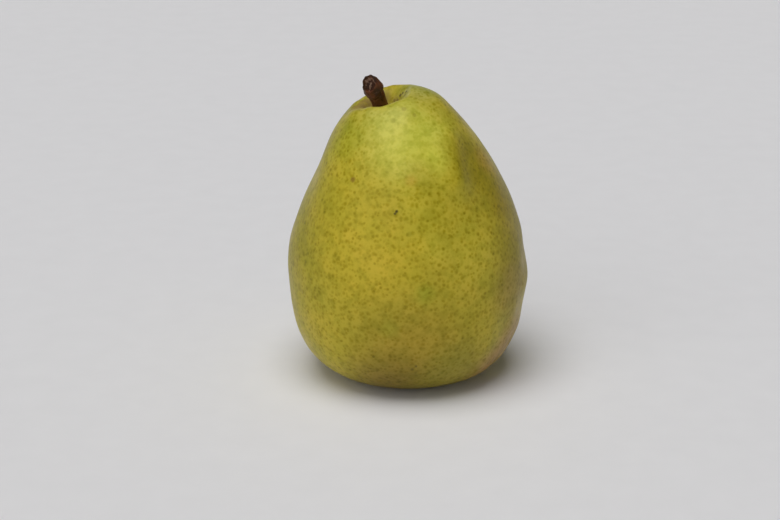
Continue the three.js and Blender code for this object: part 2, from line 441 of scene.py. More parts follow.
def knob_and_notch(height, angle):
    """How far the bud scar stands out, and how deep the notch above it is."""
    turn = (angle - KNOB_ANGLE + math.pi) % (2 * math.pi) - math.pi
    knob = hump(turn * STEM_HEAD_RADIUS, 0.0, KNOB_SIZE) * hump(height, KNOB_HEIGHT, KNOB_SIZE)
    beside = (turn - NOTCH_TURN) * STEM_HEAD_RADIUS
    notch = hump(beside, 0.0, NOTCH_WIDTH) * hump(height, NOTCH_HEIGHT, NOTCH_THICKNESS)
    return KNOB_RISE * knob, NOTCH_DEPTH * notch


def stem_relief(radius, height, angle, straight):
    """How far each point of the stem stands out sideways and along the stem, and from 0 to 1 how
    pale its bark is there, and how dark it is made by dark bark and painted shade. The grid
    straight is the stem before it bends."""
    right = radius * np.cos(angle - FACE_RIGHT)
    up = radius * np.sin(angle - FACE_RIGHT)
    shaft = smooth(height, *BARK_HEIGHTS) * smooth(radius, *BARK_RADII)
    bark = bark_relief(height, angle, straight)
    collar = sum(rise * hump(height, middle, width) for rise, middle, width in STEM_COLLARS)
    flare = BARK_THICKNESS + FOOT_FLARE * smooth(height, *FOOT_FLARE_HEIGHTS)
    knob, notch = knob_and_notch(height, angle)
    outward = shaft * (bark + collar + flare) + knob - notch

    face = smooth(height, *FACE_HEIGHTS)
    dish = DISH_DEPTH * smooth(radius, *DISH_RADII)
    nib = hump(right, NIB_RIGHT, NIB_WIDTH) * hump(up, NIB_UP, NIB_LENGTH)
    ragged = 1 + LIP_UNEVENNESS * np.sin(LIP_WAVES * angle + LIP_TURN)
    lip = LIP_RISE * hump(radius, LIP_RADIUS, LIP_WIDTH) * ragged
    pits = PIT_DEPTH * noise_field(straight, PIT_SIZE, PIT_SEED)
    slant = FACE_SLANT * up - FACE_SETBACK
    upward = face * (NIB_RISE * nib + lip + pits - dish) + slant * smooth(height, *SLANT_HEIGHTS)

    bow = hump(radius, BOW_RADIUS, BOW_WIDTH) * smooth(up, *BOW_UP)
    cap = hump(radius, CAP_RADIUS, CAP_WIDTH) * smooth(up, *CAP_UP) * smooth(height, *CAP_HEIGHTS)
    chips = smooth(noise_field(straight, CHIP_SIZE, CHIP_SEED), *CHIP_NOISE)
    chips = chips * (height > CHIP_START_HEIGHT) * (1 - cap)
    # Painted shade in the dished face's hollow and in the grooves between the ribs
    hollow = face * smooth(radius, *HOLLOW_RADII) * (1 - nib)
    grooves = smooth(-bark, *GROOVE_DEPTHS) * shaft
    pale = face * (NIB_PALENESS * nib + BOW_PALENESS * bow) + KNOB_PALENESS * knob + CHIP_PALENESS * chips
    # Dark bark in the cap, with the painted shade of the hollow and the grooves
    dark = HOLLOW_PAINTED_SHADE * hollow + cap + GROOVE_PAINTED_SHADE * grooves
    return outward, upward, np.clip(pale, 0, 1), np.clip(dark, 0, 1)


def make_stem(shift):
    """The stem, standing in the fruit's socket. It moves by the same shift as the fruit."""
    outline = stem_outline()
    angle = np.linspace(-math.pi, math.pi, STEM_SIDES, endpoint=False)[None]
    radius, height = outline[:, :1], outline[:, 1:]
    x, y = radius * np.cos(angle), radius * np.sin(angle)
    straight = np.stack(np.broadcast_arrays(x, y, height), axis=2)
    outward, upward, pale, dark = stem_relief(radius, height, angle, straight)
    wide = radius + outward
    share = height / STEM_LENGTH
    centre = 2 * share * (1 - share) * STEM_BEND + share ** 2 * STEM_TIP
    tangent = 2 * (1 - share) * STEM_BEND + 2 * share * (STEM_TIP - STEM_BEND)
    grid = np.zeros((len(outline), STEM_SIDES, 3))
    for ring, way in enumerate(tangent):
        turn = np.array(Vector(UPWARD).rotation_difference(Vector(way)).to_matrix())
        flat = np.stack([wide[ring] * np.cos(angle[0]), wide[ring] * np.sin(angle[0]), upward[ring]], axis=1)
        grid[ring] = flat @ turn.T + centre[ring]
    socket = CROWN_HEIGHT - CAVITY_DEPTH - SOCKET_DEPTH + CLEARANCE
    grid = grid + np.array([CROWN_OFFSET + LEAN, 0, socket]) + shift
    return turned_mesh("pear_stem", grid, {"pale": pale, "dark": dark})


# ---------------------------------------------------------------- the calyx's shape

# The dried cup: radius and height of each ring, and how pale it is there
CUP_RINGS = [(0.3, 5.0), (2.6, 5.1), (3.0, 4.7), (2.7, 3.9), (2.3, 3.5), (1.9, 3.6), (1.4, 4.3), (0.3, 4.5)]
CUP_TONES = [0.3, 0.4, 0.5, 0.6, 0.7, 0.4, 0.1, 0.0]
CUP_SIDES = 40

# The sepals and stamens hang from the cup: lengths at the root, and how they change to the tip
TUBE_RINGS = 14
SEPAL_COUNT = 5
SEPAL_SIDES = 14
SEPAL_ROOT_REACH = 2.4
SEPAL_SPREAD = 1.9
SEPAL_CURL_IN = 0.9
SEPAL_ROOT_HEIGHT = 4.1
SEPAL_DROP = 2.5
SEPAL_SWAY = 0.5
SEPAL_WIDTH = 1.35
SEPAL_TIP_WIDTH = 0.07
SEPAL_THICKNESS = 0.16
SEPAL_THINNING = 0.08
SEPAL_UPWARD_FACING = 0.3
SEPAL_BEND = 1.9
SEPAL_BEND_SHARE = 0.8
SEPAL_BEND_CHANGE = 0.35
SEPAL_HEADING_CHANGE = 0.25
STAMEN_COUNT = 9
STAMEN_SIDES = 8
STAMEN_ROOT_REACH = 1.1
STAMEN_SPREAD = 0.5
STAMEN_ROOT_HEIGHT = 4.5
STAMEN_DROP = 1.7
STAMEN_WIDTH = 0.13
STAMEN_TIP_SWELLING = 0.12
STAMEN_TIP = (0.8, 0.95)
STAMEN_DROP_CHANGE = 0.5
STAMEN_HEADING_CHANGE = 0.4
# How much a flattened tube's two edges curl towards its face, as a share of its width
EDGE_CURL = 0.35


class Bundle:
    """Gathers many small closed tubes into one mesh, with a tone from 0 to 1 for each ring."""

    def __init__(self):
        self.points, self.faces, self.tones = [], [], []

    def add_tube(self, rings, tones):
        rings = np.asarray(rings)
        count, sides = rings.shape[:2]
        first = len(self.points)
        last = first + (count - 1) * sides
        self.points.extend(rings.reshape(-1, 3).tolist())
        self.tones.extend(np.repeat(tones, sides).tolist())
        for low in range(first, last, sides):
            self.faces.extend(quads_between(low, low + sides, sides))
        self.faces.append(tuple(first + side for side in reversed(range(sides))))
        self.faces.append(tuple(last + side for side in range(sides)))

    def make(self, name):
        mesh = bpy.data.meshes.new(name)
        mesh.from_pydata((np.array(self.points) * MM).tolist(), [], self.faces)
        tone = mesh.attributes.new("tone", "FLOAT", "POINT")
        tone.data.foreach_set("value", np.array(self.tones, np.float32))
        return add_piece(name, mesh)


def flat_tube(path, widths, thicks, out, sides):
    """Rings of a flattened tube along a path. Its flat sides face the way of out."""
    rings = []
    turn = np.linspace(0, 2 * math.pi, sides, endpoint=False)[:, None]
    for point, way, width, thick in zip(path, np.gradient(path, axis=0), widths, thicks):
        way = way / np.linalg.norm(way)
        side = np.cross(way, out)
        side = side / np.linalg.norm(side)
        face = np.cross(side, way)
        curl = EDGE_CURL * width * np.cos(turn) ** 2
        rings.append(point + width * np.cos(turn) * side + (thick * np.sin(turn) + curl) * face)
    return rings


def uneven(number, rate, turn=0.0):
    """A value from -1 to 1 that is the same each time, and differs from number to number."""
    return math.sin(rate * number + turn)


def add_cup(bundle):
    turn = np.linspace(0, 2 * math.pi, CUP_SIDES, endpoint=False)
    rings = []
    for radius, height in CUP_RINGS:
        wave = 1 + 0.05 * np.cos(5 * turn + height) + 0.03 * np.cos(11 * turn)
        x, y = radius * wave * np.cos(turn), radius * wave * np.sin(turn)
        rings.append(np.stack([x, y, np.full(CUP_SIDES, height)], axis=1))
    bundle.add_tube(rings, CUP_TONES)


def add_sepal(bundle, number):
    share = np.linspace(0, 1, TUBE_RINGS)
    heading = 2 * math.pi * number / SEPAL_COUNT + SEPAL_HEADING_CHANGE * uneven(number, 3.1)
    out = np.array([math.cos(heading), math.sin(heading), 0])
    across = np.array([-math.sin(heading), math.cos(heading), 0])
    bend = SEPAL_BEND * (SEPAL_BEND_SHARE + SEPAL_BEND_CHANGE * uneven(number, 2.3, 1))
    reach = SEPAL_ROOT_REACH + SEPAL_SPREAD * np.sin(share * bend) - SEPAL_CURL_IN * share ** 2
    height = SEPAL_ROOT_HEIGHT - SEPAL_DROP * share ** 1.2
    sway = SEPAL_SWAY * uneven(number, 1.7) * share ** 2
    path = reach[:, None] * out + height[:, None] * UPWARD + sway[:, None] * across
    widths = SEPAL_WIDTH * np.sqrt(np.clip(1 - share ** 2.2, 0, 1)) + SEPAL_TIP_WIDTH
    thicks = SEPAL_THICKNESS - SEPAL_THINNING * share
    facing = out + SEPAL_UPWARD_FACING * UPWARD
    bundle.add_tube(flat_tube(path, widths, thicks, facing, SEPAL_SIDES), 0.4 + 0.6 * share)


def add_stamen(bundle, number):
    share = np.linspace(0, 1, TUBE_RINGS)
    heading = 2 * math.pi * number / STAMEN_COUNT + STAMEN_HEADING_CHANGE * uneven(number, 2.7)
    out = np.array([math.cos(heading), math.sin(heading), 0])
    reach = STAMEN_ROOT_REACH + STAMEN_SPREAD * share * uneven(number, 1.9, 0.5)
    drop = STAMEN_DROP + STAMEN_DROP_CHANGE * uneven(number, 4.1)
    height = STAMEN_ROOT_HEIGHT - drop * share
    path = reach[:, None] * out + height[:, None] * UPWARD
    widths = STAMEN_WIDTH + STAMEN_TIP_SWELLING * smooth(share, *STAMEN_TIP)
    bundle.add_tube(flat_tube(path, widths, widths, out, STAMEN_SIDES), 0.2 + 0.3 * share)


def make_calyx():
    bundle = Bundle()
    add_cup(bundle)
    for number in range(SEPAL_COUNT):
        add_sepal(bundle, number)
    for number in range(STAMEN_COUNT):
        add_stamen(bundle, number)
    return bundle.make("pear_calyx")


# ---------------------------------------------------------------- material helpers

def node(tree, kind, inputs=None, **settings):
    """Adds a node. An input is given a value, or the socket that feeds it."""
    made = tree.nodes.new(kind)
    for key, value in settings.items():
        setattr(made, key, value)
    for key, value in (inputs or {}).items():
        if isinstance(value, bpy.types.NodeSocket):
            tree.links.new(value, made.inputs[key])
        else:
            made.inputs[key].default_value = value
    return made


def new_material(name):
    material = bpy.data.materials.new(name)
    material.use_nodes = True
    tree = material.node_tree
    tree.nodes.clear()
    shader = node(tree, "ShaderNodeBsdfPrincipled")
    output = node(tree, "ShaderNodeOutputMaterial")
    tree.links.new(shader.outputs["BSDF"], output.inputs["Surface"])
    place = node(tree, "ShaderNodeTexCoord").outputs["Object"]
    return material, tree, shader, place


def mix(tree, share, first, second, blend="MIX"):
    """Blends two colours. A colour is a socket, or red, green and blue."""
    first, second = [(*value, 1.0) if isinstance(value, tuple) else value for value in (first, second)]
    made = node(tree, "ShaderNodeMix", {0: share, 6: first, 7: second}, data_type="RGBA", blend_type=blend)
    return made.outputs[2]


def math_node(tree, operation, first, second):
    return node(tree, "ShaderNodeMath", {0: first, 1: second}, operation=operation).outputs[0]


def times(tree, first, second):
    return math_node(tree, "MULTIPLY", first, second)


def ramp(tree, value, low, high, start=0.0, end=1.0):
    """Eases from start, where the value is low, to end, where it is high."""
    made = node(
        tree, "ShaderNodeMapRange",
        {"Value": value, "From Min": low, "From Max": high, "To Min": start, "To Max": end},
        interpolation_type="SMOOTHSTEP",
    )
    return made.outputs[0]


def noise_node(tree, place, scale, detail=2.0, roughness=0.5):
    return node(
        tree, "ShaderNodeTexNoise",
        {"Vector": place, "Scale": scale, "Detail": detail, "Roughness": roughness},
    ).outputs["Fac"]


def attribute_node(tree, name):
    return node(tree, "ShaderNodeAttribute", attribute_name=name).outputs["Fac"]


def bump_node(tree, height, strength, depth, under=None):
    """A bumped normal, on top of another one if that is given. The depth is in millimetres."""
    inputs = {"Height": height, "Strength": strength, "Distance": depth * MM}
    if under is not None:
        inputs["Normal"] = under
    return node(tree, "ShaderNodeBump", inputs).outputs["Normal"]


def distance_to(tree, place, spot):
    """How far each place is from a spot, in metres. The spot is in millimetres."""
    centre = tuple(value * MM for value in spot)
    return node(tree, "ShaderNodeVectorMath", {0: place, 1: centre}, operation="DISTANCE").outputs["Value"]


def near_spot(tree, place, spot, radius, softness):
    """1 within a spot, easing to 0 at its radius over the share that softness gives."""
    far = distance_to(tree, place, spot)
    return ramp(tree, far, radius * (1 - softness) * MM, radius * MM, 1.0, 0.0)


# ---------------------------------------------------------------- the skin's material

SKIN_GREENER = (0.490, 0.404, 0.033)
SKIN_YELLOWER = (0.530, 0.422, 0.033)
SKIN_ROUGHNESS = (0.33, 0.42)
SKIN_IOR = 1.28
CORK_ROUGHNESS = 0.4
SUBSURFACE_WEIGHT = 0.10
SUBSURFACE_RADII = (1.0, 0.8, 0.3)
SUBSURFACE_DEPTH = 1.5

# Noise in the skin's tones, in waves per metre, and how far it pushes the edges of spots
DRIFT_SCALE = 30.0
PATCH_SCALE = 110.0
MOTTLE_SCALE = 330.0
WANDER_SCALE = 350.0
WANDER_REACH = 0.9
PORE_SCALE = 900.0
# Bumps: a strength, and a depth in millimetres
PORE_BUMP = (0.12, 0.4)
DOT_BUMP = (0.25, 0.1)

# The skin's tones are multiplied by these in darker and lighter patches and in fine mottling
DARKER_PATCH = (0.87, 0.93, 0.75)
LIGHTER_PATCH = (1.12, 1.08, 1.2)
MOTTLING = (0.82, 0.84, 0.62)

# The dots: cells per metre, smallest and largest size in a cell, and what they multiply by
LARGE_DOTS = (560.0, 0.42, 0.66)
LARGE_DOT_COLOUR = (0.68, 0.665, 0.10)
SMALL_DOTS = (700.0, 0.40, 0.62)
SMALL_DOT_COLOUR = (0.71, 0.69, 0.12)
DOT_CORE = 0.06
DOT_STRENGTH = 0.95
FAINTEST_DOT_SHARE = 0.6
# The dots are fainter in the painted highlight at the front of the crown
HIGHLIGHT_SPOT = (-1.0, -20.0, 88.0)
HIGHLIGHT_SPOT_RADIUS = 21.0
HIGHLIGHT_SPOT_SOFTNESS = 0.8
HIGHLIGHT_SPOT_DOTS = 0.3

TINT_SOFTNESS = 0.85
MARK_SOFTNESS = 0.6

# Broad tints of the skin, with painted highlight, painted shade and painted reflection among them:
# middle and radius in millimetres, colour, and how strong it is
SKIN_TINTS_AND_PAINTED_LIGHT = [
    # The next three are a painted highlight on the front of the crown
    ((-4.0, -15.0, 93.0), 24.0, (0.50, 0.465, 0.10), 0.60),
    ((0.5, -19.5, 87.0), 22.0, (0.67, 0.65, 0.08), 0.72),
    ((8.5, -23.0, 81.5), 6.5, (0.68, 0.64, 0.07), 0.50),
    # The next two are painted shade on the right of the neck beyond the ridge, over partly browner skin
    ((20.5, -15.5, 78.5), 15.5, (0.30, 0.235, 0.006), 0.85),
    ((31.0, -13.0, 66.0), 11.0, (0.26, 0.19, 0.001), 0.60),
    ((-22.0, -13.0, 86.0), 12.0, (0.36, 0.36, 0.02), 0.65),
    # Painted shade down the right side, where the fruit turns away
    ((42.0, -6.0, 54.0), 40.0, (0.31, 0.228, 0.002), 0.70),
    ((35.0, -20.0, 36.0), 16.0, (0.33, 0.22, 0.05), 0.50),
    # Painted shade down the left side, where the fruit turns away
    ((-40.0, -6.0, 55.0), 40.0, (0.31, 0.26, 0.010), 0.70),
    ((-13.0, -32.0, 62.0), 8.0, (0.42, 0.38, 0.02), 0.45),
    ((-12.0, -36.0, 50.0), 24.0, (0.62, 0.45, 0.03), 0.50),
    ((22.5, -31.0, 51.0), 13.0, (0.66, 0.53, 0.05), 0.60),
    ((7.8, -36.1, 54.7), 7.0, (0.60, 0.50, 0.05), 0.50),
    ((7.5, -38.4, 45.5), 7.0, (0.40, 0.33, 0.02), 0.40),
    # The next three are painted shade at the bottom front, partly the shade of a lemon that is not built,
    # over browner skin
    ((0.0, -36.0, 20.0), 29.0, (0.39, 0.265, 0.028), 0.68),
    ((-5.0, -30.0, 4.0), 24.0, (0.17, 0.110, 0.018), 0.78),
    ((14.0, -28.0, 8.0), 20.0, (0.28, 0.23, 0.03), 0.70),
    # The next two are a pinkish patch at the lower right edge: painted reflection of the pale surroundings,
    # over pinkish-brown skin
    ((28.0, -20.5, 6.5), 14.0, (0.34, 0.17, 0.08), 0.70),
    ((35.0, -14.0, 16.0), 15.0, (0.42, 0.235, 0.13), 0.70),
    # Painted shade at the bottom front, partly the unbuilt lemon's, over browner skin
    ((14.0, -33.0, 16.0), 14.0, (0.33, 0.29, 0.03), 0.40),
    # Darker at the lower edge of the painted highlight
    ((8.0, -28.5, 72.5), 6.0, (0.40, 0.34, 0.02), 0.40),
    ((-20.5, -10.0, 89.5), 4.5, (0.25, 0.26, 0.01), 0.60),
    ((25.6, -7.9, 76.4), 8.0, (0.42, 0.25, 0.04), 0.45),
    ((5.0, -39.4, 41.4), 5.0, (0.33, 0.37, 0.02), 0.40),
    ((-6.2, -39.4, 28.9), 5.0, (0.33, 0.35, 0.02), 0.35),
    ((0.7, -27.8, 75.7), 3.0, (0.60, 0.34, 0.04), 0.45),
    ((-8.0, 34.0, 48.0), 34.0, (0.42, 0.40, 0.03), 0.55),
    ((11.5, -8.0, 93.0), 7.0, (0.33, 0.30, 0.03), 0.30),
    # Darker at the lower edge of the painted highlight
    ((4.0, -26.0, 77.5), 8.5, (0.42, 0.32, 0.03), 0.30),
    # Lighter at the left edge of the painted shade beyond the ridge
    ((19.8, -16.0, 77.5), 6.0, (0.46, 0.36, 0.02), 0.35),
    ((25.0, -24.5, 57.0), 10.0, (0.62, 0.50, 0.04), 0.30),
    ((1.5, -31.3, 69.5), 7.5, (0.62, 0.52, 0.05), 0.28),
    # Painted shade at the left side of the crown, where it turns away
    ((-24.5, -5.5, 84.0), 8.0, (0.22, 0.19, 0.01), 0.30),
    ((4.0, 2.0, 99.0), 12.0, (0.35, 0.40, 0.15), 0.50),
    ((-12.0, 6.0, 97.0), 7.0, (0.30, 0.34, 0.10), 0.40),
    # The next four are painted shade at the sides of the crown and neck, where they turn away
    ((-21.0, 2.0, 91.0), 8.0, (0.16, 0.16, 0.005), 0.45),
    ((-27.5, 0.0, 80.0), 9.0, (0.17, 0.16, 0.005), 0.45),
    ((17.5, 2.0, 90.0), 8.0, (0.24, 0.19, 0.01), 0.40),
    ((29.0, -2.0, 70.0), 8.0, (0.24, 0.18, 0.01), 0.35),
]

# Small marks on the skin, such as specks and scars, with the same columns as the tints
SKIN_MARKS = [
    ((-3.7, -32.2, 67.6), 0.75, (0.035, 0.03, 0.006), 0.9),
    ((-4.1, -32.3, 66.9), 0.65, (0.05, 0.04, 0.008), 0.8),
    ((0.7, -34.9, 60.6), 1.2, (0.26, 0.24, 0.01), 0.4),
    ((-17.9, -23.3, 75.5), 1.5, (0.20, 0.11, 0.010), 0.75),
    ((-13.7, -10.9, 93.0), 1.2, (0.28, 0.26, 0.01), 0.5),
    ((-4.6, -15.4, 93.0), 1.2, (0.30, 0.28, 0.01), 0.4),
    ((-1.0, -12.2, 95.8), 1.2, (0.28, 0.23, 0.01), 0.5),
    ((2.2, -13.2, 94.0), 1.1, (0.25, 0.21, 0.01), 0.5),
    ((-20.2, -18.3, 79.8), 0.8, (0.14, 0.10, 0.01), 0.7),
    ((1.6, -36.4, 14.0), 1.0, (0.07, 0.06, 0.01), 0.8),
    ((2.9, -36.7, 15.3), 0.8, (0.07, 0.06, 0.01), 0.7),
    ((-2.2, 3.4, 96.3), 0.75, (0.08, 0.055, 0.02), 0.85),
    ((-1.4, 3.1, 97.0), 0.7, (0.08, 0.055, 0.02), 0.85),
    ((-1.2, 1.5, 96.9), 0.7, (0.50, 0.42, 0.16), 0.6),
    ((-0.6, 0.0, 97.0), 0.75, (0.09, 0.065, 0.02), 0.85),
    ((0.0, 1.2, 97.8), 0.7, (0.10, 0.07, 0.02), 0.8),
    ((-4.2, 3.8, 94.4), 0.8, (0.12, 0.08, 0.02), 0.7),
    ((-3.3, 2.9, 94.8), 0.7, (0.12, 0.08, 0.02), 0.7),
    ((-18.5, -1.2, 95.0), 1.6, (0.20, 0.14, 0.10), 0.7),
    ((21.0, 25.5, 70.0), 1.0, (0.10, 0.08, 0.01), 0.8),
    ((-30.0, 20.0, 44.0), 1.3, (0.16, 0.11, 0.01), 0.7),
    ((12.0, 37.0, 30.0), 0.8, (0.06, 0.05, 0.01), 0.8),
]

# The brown skin round the stem and in the basin, in millimetres: its middle, the radii between
# which it fades out, how ragged its edge is, and the heights between which it fades in
STEM_RUSSET_MIDDLE = (-11.7, 0.2, 0.0)
STEM_RUSSET_RADII = (4.8, 8.4)
STEM_RUSSET_EDGE = 2.2
STEM_RUSSET_HEIGHTS = (80.0, 86.0)
STEM_RUSSET_STRENGTH = 0.95
STEM_RUSSET_COLOUR = (0.27, 0.185, 0.045)
BASIN_RUSSET_MIDDLE = (0.0, 0.0, 0.0)
BASIN_RUSSET_RADII = (6.0, 11.0)
BASIN_RUSSET_EDGE = 2.0
BASIN_RUSSET_HEIGHTS = (12.0, 8.0)
BASIN_RUSSET_STRENGTH = 0.9
BASIN_RUSSET_COLOUR = (0.15, 0.095, 0.035)


def wandering_place(tree, place):
    """The place pushed about by up to a millimetre, so that spots get uneven edges."""
    push = node(tree, "ShaderNodeTexNoise", {"Vector": place, "Scale": WANDER_SCALE, "Detail": 1.0})
    reach = (WANDER_REACH * MM,) * 3
    inputs = {0: push.outputs["Color"], 1: reach, 2: place}
    return node(tree, "ShaderNodeVectorMath", inputs, operation="MULTIPLY_ADD").outputs[0]


def scattered_dots(tree, place, scale, small, large):
    """Round soft dots of uneven size and strength, one in each cell of a Voronoi pattern."""
    cells = node(tree, "ShaderNodeTexVoronoi", {"Vector": place, "Scale": scale, "Randomness": 1.0})
    chance = node(tree, "ShaderNodeSeparateColor", {"Color": cells.outputs["Color"]})
    radius = ramp(tree, chance.outputs["Red"], 0.0, 1.0, small, large)
    dot = ramp(tree, cells.outputs["Distance"], radius, DOT_CORE)
    faintest = DOT_STRENGTH * FAINTEST_DOT_SHARE
    return times(tree, dot, ramp(tree, chance.outputs["Green"], 0.0, 1.0, faintest, DOT_STRENGTH))


def add_spots(tree, place, colour, spots, softness):
    """Paints a list of tints or marks over a colour, one after another."""
    for spot, radius, tint, strength in spots:
        share = times(tree, near_spot(tree, place, spot, radius, softness), strength)
        colour = mix(tree, share, colour, tint)
    return colour


def ragged_round(tree, across, patches, middle, radii, edge):
    """1 round a vertical line, easing to 0 between two radii, with an uneven edge."""
    uneven_edge = ramp(tree, patches, 0.3, 0.7, -edge * MM, edge * MM)
    far = math_node(tree, "ADD", distance_to(tree, across, middle), uneven_edge)
    return ramp(tree, far, radii[0] * MM, radii[1] * MM, 1.0, 0.0)


def russet_shares(tree, place, patches, mottle):
    """Where the skin is brown and corky: round the stem, and in the basin underneath."""
    parts = node(tree, "ShaderNodeSeparateXYZ", {"Vector": place}).outputs
    across = node(tree, "ShaderNodeCombineXYZ", {"X": parts["X"], "Y": parts["Y"]}).outputs[0]
    low, high = STEM_RUSSET_HEIGHTS
    ring = ragged_round(tree, across, patches, STEM_RUSSET_MIDDLE, STEM_RUSSET_RADII, STEM_RUSSET_EDGE)
    inside = times(tree, ring, ramp(tree, parts["Z"], low * MM, high * MM, 0.0, STEM_RUSSET_STRENGTH))
    around_stem = times(tree, inside, ramp(tree, mottle, 0.3, 0.6, 0.6, 1.0))
    low, high = BASIN_RUSSET_HEIGHTS
    ring = ragged_round(tree, across, patches, BASIN_RUSSET_MIDDLE, BASIN_RUSSET_RADII, BASIN_RUSSET_EDGE)
    underneath = times(tree, ring, ramp(tree, parts["Z"], low * MM, high * MM, 0.0, BASIN_RUSSET_STRENGTH))
    return around_stem, underneath


def skin_material():
    """Waxy skin: broad tints with painted highlight, shade and reflection among them, patches and
    mottling, then dots, marks and corky russet.
    """
    material, tree, shader, place = new_material("pear_skin")
    wander = wandering_place(tree, place)
    drift = noise_node(tree, place, DRIFT_SCALE, 3.0)
    patches = noise_node(tree, place, PATCH_SCALE, 3.0)
    mottle = noise_node(tree, place, MOTTLE_SCALE, 3.0, 0.6)

    colour = mix(tree, ramp(tree, drift, 0.38, 0.62), SKIN_GREENER, SKIN_YELLOWER)
    # The tints paint a highlight on the crown, shade at the sides and bottom, and a reflection at the lower
    # right, besides the skin's own tones
    colour = add_spots(tree, place, colour, SKIN_TINTS_AND_PAINTED_LIGHT, TINT_SOFTNESS)
    colour = mix(tree, ramp(tree, patches, 0.40, 0.72, 0.0, 0.6), colour, DARKER_PATCH, "MULTIPLY")
    colour = mix(tree, ramp(tree, patches, 0.55, 0.28, 0.0, 0.5), colour, LIGHTER_PATCH, "MULTIPLY")
    colour = mix(tree, ramp(tree, mottle, 0.40, 0.66), colour, MOTTLING, "MULTIPLY")

    large_dots = scattered_dots(tree, wander, *LARGE_DOTS)
    small_dots = scattered_dots(tree, place, *SMALL_DOTS)
    # Painted highlight: the dots fade where the highlight falls
    highlight_spot = near_spot(tree, place, HIGHLIGHT_SPOT, HIGHLIGHT_SPOT_RADIUS, HIGHLIGHT_SPOT_SOFTNESS)
    dot_share = math_node(tree, "SUBTRACT", 1.0, times(tree, highlight_spot, 1 - HIGHLIGHT_SPOT_DOTS))
    colour = mix(tree, times(tree, large_dots, dot_share), colour, LARGE_DOT_COLOUR, "MULTIPLY")
    colour = mix(tree, times(tree, small_dots, dot_share), colour, SMALL_DOT_COLOUR, "MULTIPLY")
    colour = add_spots(tree, wander, colour, SKIN_MARKS, MARK_SOFTNESS)

    around_stem, underneath = russet_shares(tree, place, patches, mottle)
    colour = mix(tree, around_stem, colour, STEM_RUSSET_COLOUR)
    colour = mix(tree, underneath, colour, BASIN_RUSSET_COLOUR)
    tree.links.new(colour, shader.inputs["Base Color"])

    corky = math_node(tree, "MAXIMUM", around_stem, underneath)
    waxy = ramp(tree, patches, 0.3, 0.7, *SKIN_ROUGHNESS)
    rough = math_node(tree, "ADD", waxy, times(tree, corky, CORK_ROUGHNESS))
    tree.links.new(rough, shader.inputs["Roughness"])
    pores = bump_node(tree, noise_node(tree, place, PORE_SCALE, 3.0), *PORE_BUMP)
    tree.links.new(bump_node(tree, large_dots, *DOT_BUMP, pores), shader.inputs["Normal"])
    shader.inputs["IOR"].default_value = SKIN_IOR
    shader.inputs["Subsurface Weight"].default_value = SUBSURFACE_WEIGHT
    shader.inputs["Subsurface Radius"].default_value = SUBSURFACE_RADII
    shader.inputs["Subsurface Scale"].default_value = SUBSURFACE_DEPTH * MM
    return material


# ---------------------------------------------------------------- the other materials

BARK_DARKER = (0.045, 0.021, 0.007)
BARK_LIGHTER = (0.125, 0.038, 0.012)
BARK_NEAR_FOOT = (0.19, 0.085, 0.024)
BARK_GRAIN = (0.15, 0.070, 0.030)
DARK_BARK_AND_SHADE = (0.024, 0.008, 0.004)
BARK_SCAR = (0.30, 0.19, 0.13)
BARK_FOOT_HEIGHTS = (98.5, 94.5)
BARK_GRAIN_SCALE = 700.0
BARK_BROAD_SCALE = 260.0
BARK_ROUGHNESS = (0.62, 0.45)
BARK_IOR = 1.32
BARK_SPECULAR = 0.35
CALYX_DARK = (0.022, 0.013, 0.007)
CALYX_PALE = (0.17, 0.105, 0.055)
CALYX_GRAIN_SCALE = 900.0
CALYX_ROUGHNESS = (0.85, 0.65)
DRY_BUMP = (0.6, 0.3)
PAPER_DARKER = (0.78, 0.775, 0.785)
PAPER_LIGHTER = (0.82, 0.815, 0.825)
PAPER_FIBRE_SCALE = 90.0
PAPER_ROUGHNESS = 0.75


def bark_material():
    """Reddish bark, lighter near the foot. The mesh says where its pale scars and dark cap are, and
    where shade is painted in the face's hollow and the grooves.
    """
    material, tree, shader, place = new_material("stem_bark")
    grain = noise_node(tree, place, BARK_GRAIN_SCALE, 4.0, 0.6)
    broad = noise_node(tree, place, BARK_BROAD_SCALE)
    height = node(tree, "ShaderNodeSeparateXYZ", {"Vector": place}).outputs["Z"]
    high, low = BARK_FOOT_HEIGHTS
    near_foot = ramp(tree, height, high * MM, low * MM, 0.0, 0.85)
    dark = attribute_node(tree, "dark")
    pale = attribute_node(tree, "pale")
    colour = mix(tree, ramp(tree, broad, 0.35, 0.65), BARK_DARKER, BARK_LIGHTER)
    colour = mix(tree, near_foot, colour, BARK_NEAR_FOOT)
    colour = mix(tree, ramp(tree, grain, 0.50, 0.72, 0.0, 0.5), colour, BARK_GRAIN)
    # Dark bark on the cap, and painted shade in the face's hollow and the grooves
    colour = mix(tree, times(tree, dark, 0.85), colour, DARK_BARK_AND_SHADE)
    colour = mix(tree, ramp(tree, pale, 0.3, 0.9, 0.0, 0.9), colour, BARK_SCAR)
    tree.links.new(colour, shader.inputs["Base Color"])
    tree.links.new(ramp(tree, grain, 0.3, 0.7, *BARK_ROUGHNESS), shader.inputs["Roughness"])
    tree.links.new(bump_node(tree, grain, *DRY_BUMP), shader.inputs["Normal"])
    shader.inputs["IOR"].default_value = BARK_IOR
    shader.inputs["Specular IOR Level"].default_value = BARK_SPECULAR
    return material


